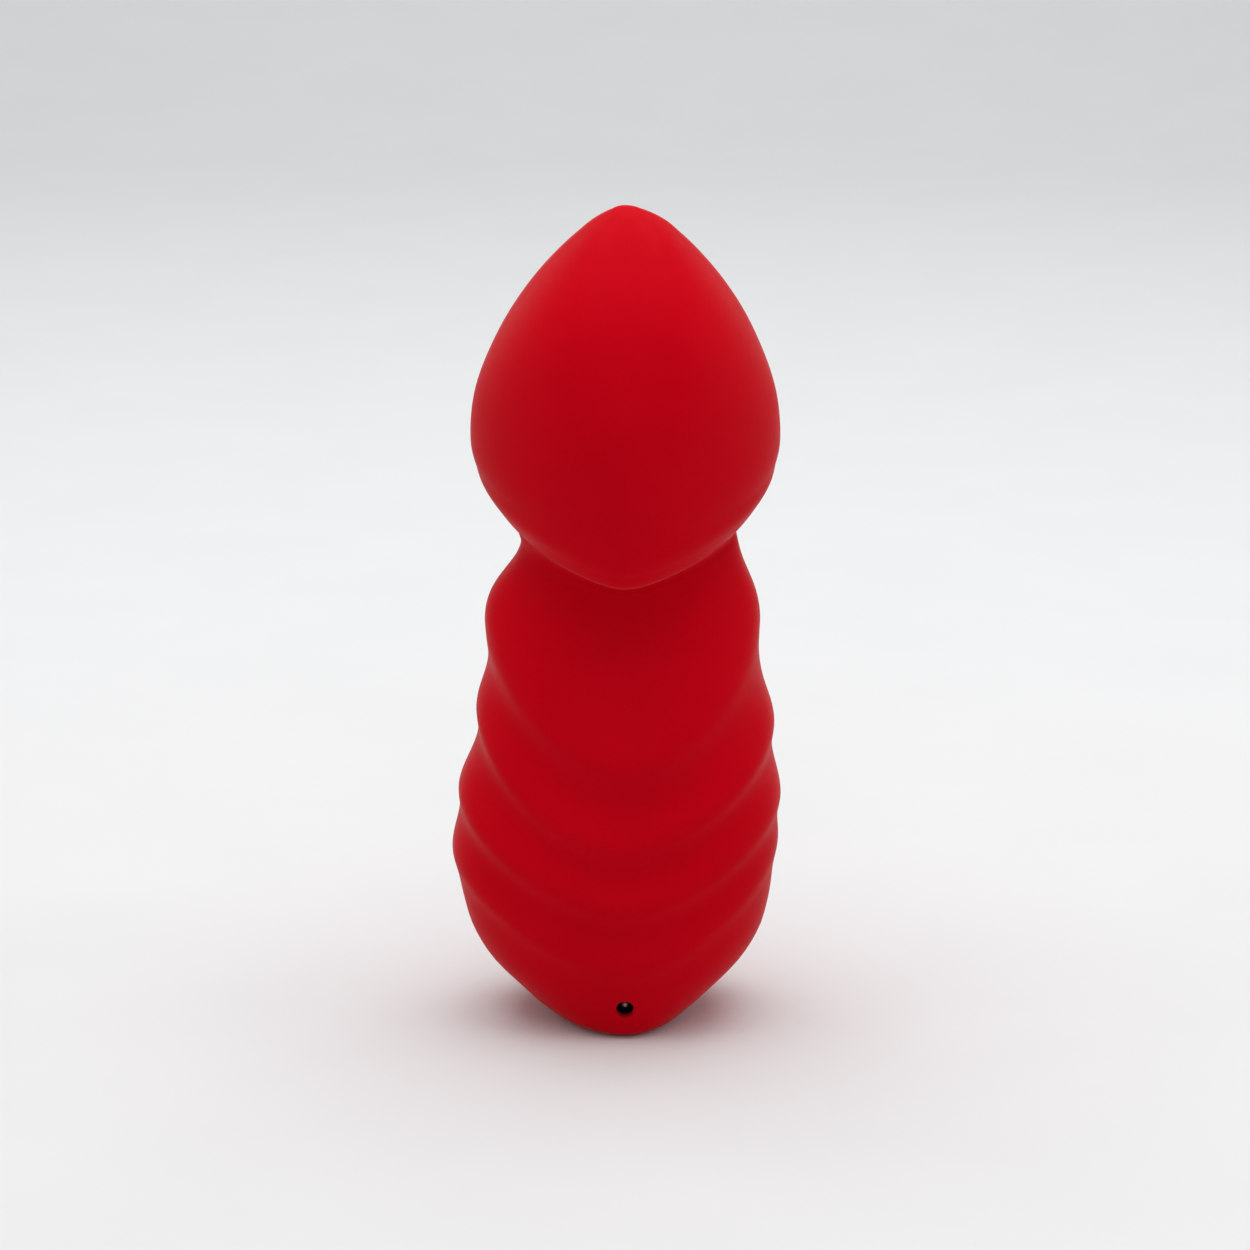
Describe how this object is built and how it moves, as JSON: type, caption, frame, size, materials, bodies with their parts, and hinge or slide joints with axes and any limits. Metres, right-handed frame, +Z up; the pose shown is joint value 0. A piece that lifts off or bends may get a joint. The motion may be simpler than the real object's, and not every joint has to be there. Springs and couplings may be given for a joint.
{
  "type": "personal massager",
  "caption": "Handheld vibrating massager: matte silicone skin over a two-part housing, leaning egg-shaped head with an eccentric motor, swagged body, rear button and charging port.",
  "frame": {"origin": "centre of the small flat foot that the object stands on", "axes": "+Z up towards the pointed tip, -Y is the front with the charging port, the button is on the +Y side"},
  "size_m": [0.0465, 0.0414, 0.1155],
  "materials": {
    "silicone": "matte one-colour red silicone",
    "white_plastic": "satin moulded plastic",
    "housing_plastic": "moulded plastic, light spark texture",
    "screw_steel": "zinc plated",
    "board_laminate": "green solder mask",
    "chip_black": "black moulded epoxy",
    "passive_ceramic": "ceramic with tinned ends",
    "led_clear": "clear lens on a white base",
    "light_guide_clear": "clear moulded acrylic",
    "pouch_foil": "satin laminate foil",
    "foam_grey": "open-cell foam pad",
    "lead_red": "insulated lead",
    "lead_black": "insulated lead",
    "plated_metal": "nickel plated",
    "black_plastic": "black moulded plastic",
    "magnet_dark": "sintered magnet, dark",
    "contact_copper": "copper alloy",
    "bearing_bronze": "sintered bronze",
    "shaft_steel": "ground steel",
    "rotor_steel": "stacked laminations",
    "winding_copper": "enamelled copper wire",
    "weight_metal": "sintered dense metal",
    "sleeve_rubber": "matte black rubber"
  },
  "bodies": {
    "housing": {"silicone_skin": "silicone", "button_web": "silicone", "front_housing": "housing_plastic", "rear_housing": "housing_plastic", "housing_screws": "screw_steel", "circuit_board": "board_laminate", "mcu_chip": "chip_black", "charge_chip": "chip_black", "board_passives": "passive_ceramic", "switch_body": "chip_black", "status_led": "led_clear", "light_guide": "light_guide_clear", "battery_cell": "pouch_foil", "battery_protection_board": "board_laminate", "battery_foam": "foam_grey", "battery_lead_pos": "lead_red", "battery_lead_neg": "lead_black", "jack_barrel": "plated_metal", "jack_insulator": "black_plastic", "jack_pin": "plated_metal", "port_lead_pos": "lead_red", "port_lead_neg": "lead_black", "motor_can": "plated_metal", "motor_magnets": "magnet_dark", "motor_end_cap": "white_plastic", "motor_brushes": "contact_copper", "front_bearing": "bearing_bronze", "rear_bearing": "bearing_bronze", "motor_sleeve": "sleeve_rubber", "motor_lead_pos": "lead_red", "motor_lead_neg": "lead_black"},
    "rotor": {"motor_shaft": "shaft_steel", "rotor_core": "rotor_steel", "rotor_windings": "winding_copper", "commutator": "contact_copper", "eccentric_weight": "weight_metal"},
    "button": {"button_pad": "silicone", "button_actuator": "white_plastic"},
    "plunger": {"switch_plunger": "white_plastic"}
  },
  "joints": [
    {"name": "motor_spin", "type": "hinge", "parent": "housing", "child": "rotor", "pos_m": [0, 0, 0.085], "axis": [0, 0, 1], "continuous": true},
    {"name": "button_press", "type": "slide", "parent": "housing", "child": "button", "axis": [0, -1, 0], "range_m": [0, 0.0003], "stiffness_N_per_m": 3000, "deforming": ["button_web"]},
    {"name": "switch_travel", "type": "slide", "parent": "housing", "child": "plunger", "axis": [0, -1, 0], "range_m": [0, 0.0003]}
  ],
  "couplings": [
    {"joint": "switch_travel", "follows": "button_press", "ratio": 1}
  ]
}
